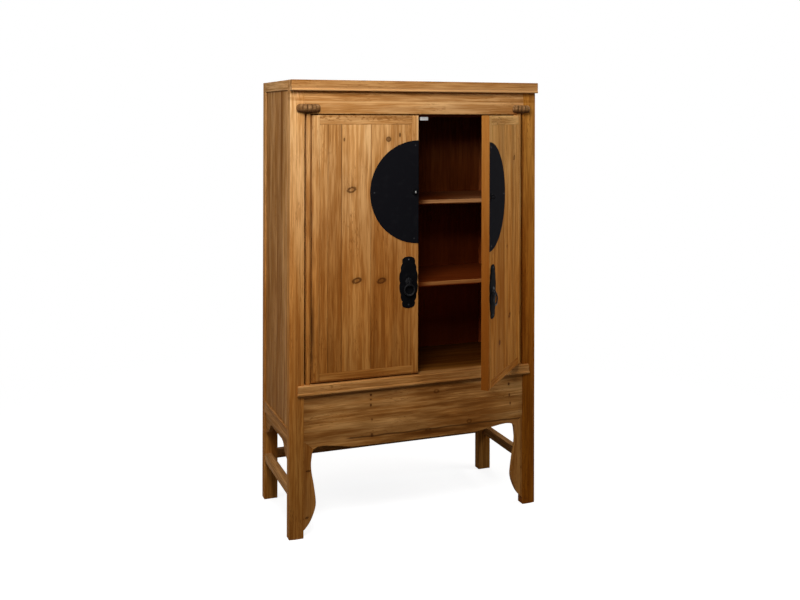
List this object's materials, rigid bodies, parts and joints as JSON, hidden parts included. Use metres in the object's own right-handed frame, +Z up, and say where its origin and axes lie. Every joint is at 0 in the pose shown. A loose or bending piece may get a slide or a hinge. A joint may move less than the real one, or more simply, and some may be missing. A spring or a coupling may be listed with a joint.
{
  "type": "wardrobe",
  "caption": "Tall wooden cabinet on legs with pin-hung doors, a round black plate across them, ring pulls, shelves and a moulded top.",
  "frame": {"origin": "on the floor, in the middle of the four posts' footprint", "axes": "+X to the right along the front, +Y from the doors towards the back, +Z up"},
  "size_m": [1.08, 0.8156, 1.8],
  "materials": {
    "frame_wood": "oiled, worn",
    "inner_wood": "dark stain",
    "block_wood": "weathered",
    "black_iron": "blackened",
    "pale_steel": "satin"
  },
  "bodies": {
    "cabinet": {"front_left_post": "frame_wood", "front_right_post": "frame_wood", "rear_left_post": "frame_wood", "rear_right_post": "frame_wood", "cornice": "frame_wood", "header_rail": "frame_wood", "left_top_rail": "frame_wood", "right_top_rail": "frame_wood", "rear_top_rail": "frame_wood", "top_panel": "frame_wood", "sill_rail": "frame_wood", "front_apron": "frame_wood", "left_bracket": "frame_wood", "right_bracket": "frame_wood", "left_side_panel": "frame_wood", "right_side_panel": "frame_wood", "left_side_rail": "frame_wood", "right_side_rail": "frame_wood", "left_side_apron": "frame_wood", "right_side_apron": "frame_wood", "left_stretcher": "frame_wood", "right_stretcher": "frame_wood", "rear_stretcher": "frame_wood", "rear_rail": "frame_wood", "back_panel": "inner_wood", "floor_board": "inner_wood", "floor_ledger": "inner_wood", "bottom_board": "inner_wood", "upper_shelf": "inner_wood", "lower_shelf": "inner_wood", "door_stop": "inner_wood", "left_pivot_block": "block_wood", "right_pivot_block": "block_wood", "left_catch": "pale_steel", "right_catch": "pale_steel"},
    "left_door": {"left_pivot_stile": "frame_wood", "left_hinge_stile": "frame_wood", "left_meeting_stile": "frame_wood", "left_door_top_rail": "frame_wood", "left_door_bottom_rail": "frame_wood", "left_door_panel": "frame_wood", "left_disc": "black_iron", "left_lock_lug": "black_iron", "left_handle_plate": "black_iron", "left_ring_eye": "black_iron", "left_strike_plate": "pale_steel"},
    "right_door": {"right_pivot_stile": "frame_wood", "right_hinge_stile": "frame_wood", "right_meeting_stile": "frame_wood", "right_door_top_rail": "frame_wood", "right_door_bottom_rail": "frame_wood", "right_door_panel": "frame_wood", "right_disc": "black_iron", "right_lock_lug": "black_iron", "right_handle_plate": "black_iron", "right_ring_eye": "black_iron", "right_strike_plate": "pale_steel"},
    "left_ring": {"left_ring": "black_iron"},
    "right_ring": {"right_ring": "black_iron"}
  },
  "joints": [
    {"name": "left_door_swing", "type": "hinge", "parent": "cabinet", "child": "left_door", "pos_m": [-0.4643, -0.228, 0.599], "axis": [0, 0, -1], "range_deg": [0, 100]},
    {"name": "right_door_swing", "type": "hinge", "parent": "cabinet", "child": "right_door", "pos_m": [0.4643, -0.228, 0.599], "axis": [0, 0, 1], "range_deg": [-47, 53]},
    {"name": "left_ring_swing", "type": "hinge", "parent": "left_door", "child": "left_ring", "pos_m": [-0.044, -0.2528, 0.972], "axis": [-1, 0, 0], "range_deg": [-8, 165]},
    {"name": "right_ring_swing", "type": "hinge", "parent": "right_door", "child": "right_ring", "pos_m": [0.19579, -0.5523, 0.972], "axis": [-0.682, -0.7314, 0], "range_deg": [-8, 165]}
  ]
}
